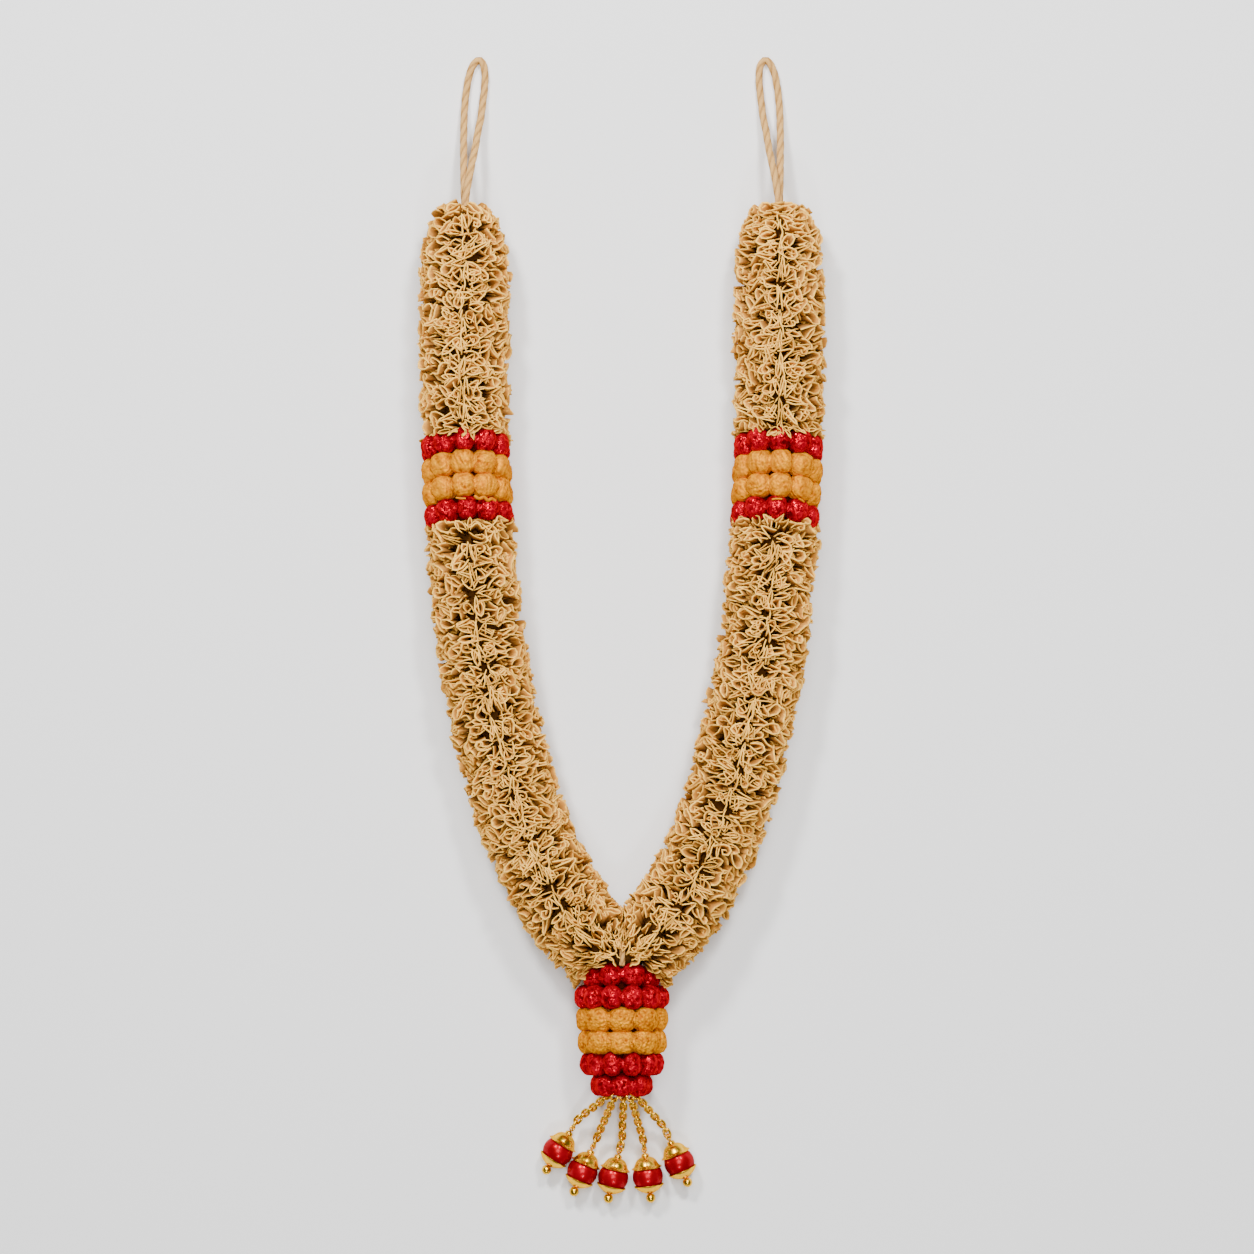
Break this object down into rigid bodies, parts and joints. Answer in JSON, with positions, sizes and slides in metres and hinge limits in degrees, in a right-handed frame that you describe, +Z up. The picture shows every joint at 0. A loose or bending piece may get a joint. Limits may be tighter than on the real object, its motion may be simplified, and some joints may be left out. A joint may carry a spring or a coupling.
{
  "type": "vetiver garland",
  "caption": "Garland of two ruffled vetiver ropes with bands of wound balls, joined at a ball pendant with a fan of chained beads, laid flat.",
  "frame": {"origin": "on the resting surface, under the middle of the garland without its two cord loops", "axes": "+Z up, the garland's front faces +Z; +Y towards the hanging loops, +X towards the right rope"},
  "size_m": [0.2698, 0.7681, 0.0627],
  "materials": {
    "vetiver": "matte curled root strips",
    "core": "matte rolled fibre",
    "cord": "matte twisted fibre",
    "red_balls": "glossy crinkled wound balls",
    "yellow_balls": "satin wound balls",
    "gold": "polished",
    "red_bead": "pearly gloss"
  },
  "bodies": {
    "root": {"bead_1": "red_bead", "bead_2": "red_bead", "bead_3": "red_bead", "bead_4": "red_bead", "bead_5": "red_bead", "bottom_cap_1": "gold", "bottom_cap_2": "gold", "bottom_cap_3": "gold", "bottom_cap_4": "gold", "bottom_cap_5": "gold", "chain_1": "gold", "chain_2": "gold", "chain_3": "gold", "chain_4": "gold", "chain_5": "gold", "end_knot": "cord", "head_pin_1": "gold", "head_pin_2": "gold", "head_pin_3": "gold", "head_pin_4": "gold", "head_pin_5": "gold", "left_band_1_red": "red_balls", "left_band_2_yellow": "yellow_balls", "left_band_3_yellow": "yellow_balls", "left_band_4_red": "red_balls", "left_band_core": "core", "left_loop": "cord", "left_ruffle_lower_1": "vetiver", "left_ruffle_lower_2": "vetiver", "left_ruffle_lower_3": "vetiver", "left_ruffle_upper": "vetiver", "left_string": "cord", "pendant_1_red": "red_balls", "pendant_2_red": "red_balls", "pendant_3_yellow": "yellow_balls", "pendant_4_yellow": "yellow_balls", "pendant_5_red": "red_balls", "pendant_6_red": "red_balls", "pendant_core": "core", "right_band_1_red": "red_balls", "right_band_2_yellow": "yellow_balls", "right_band_3_yellow": "yellow_balls", "right_band_4_red": "red_balls", "right_band_core": "core", "right_loop": "cord", "right_ruffle_lower_1": "vetiver", "right_ruffle_lower_2": "vetiver", "right_ruffle_lower_3": "vetiver", "right_ruffle_upper": "vetiver", "right_string": "cord", "top_cap_1": "gold", "top_cap_2": "gold", "top_cap_3": "gold", "top_cap_4": "gold", "top_cap_5": "gold"}
  },
  "joints": []
}
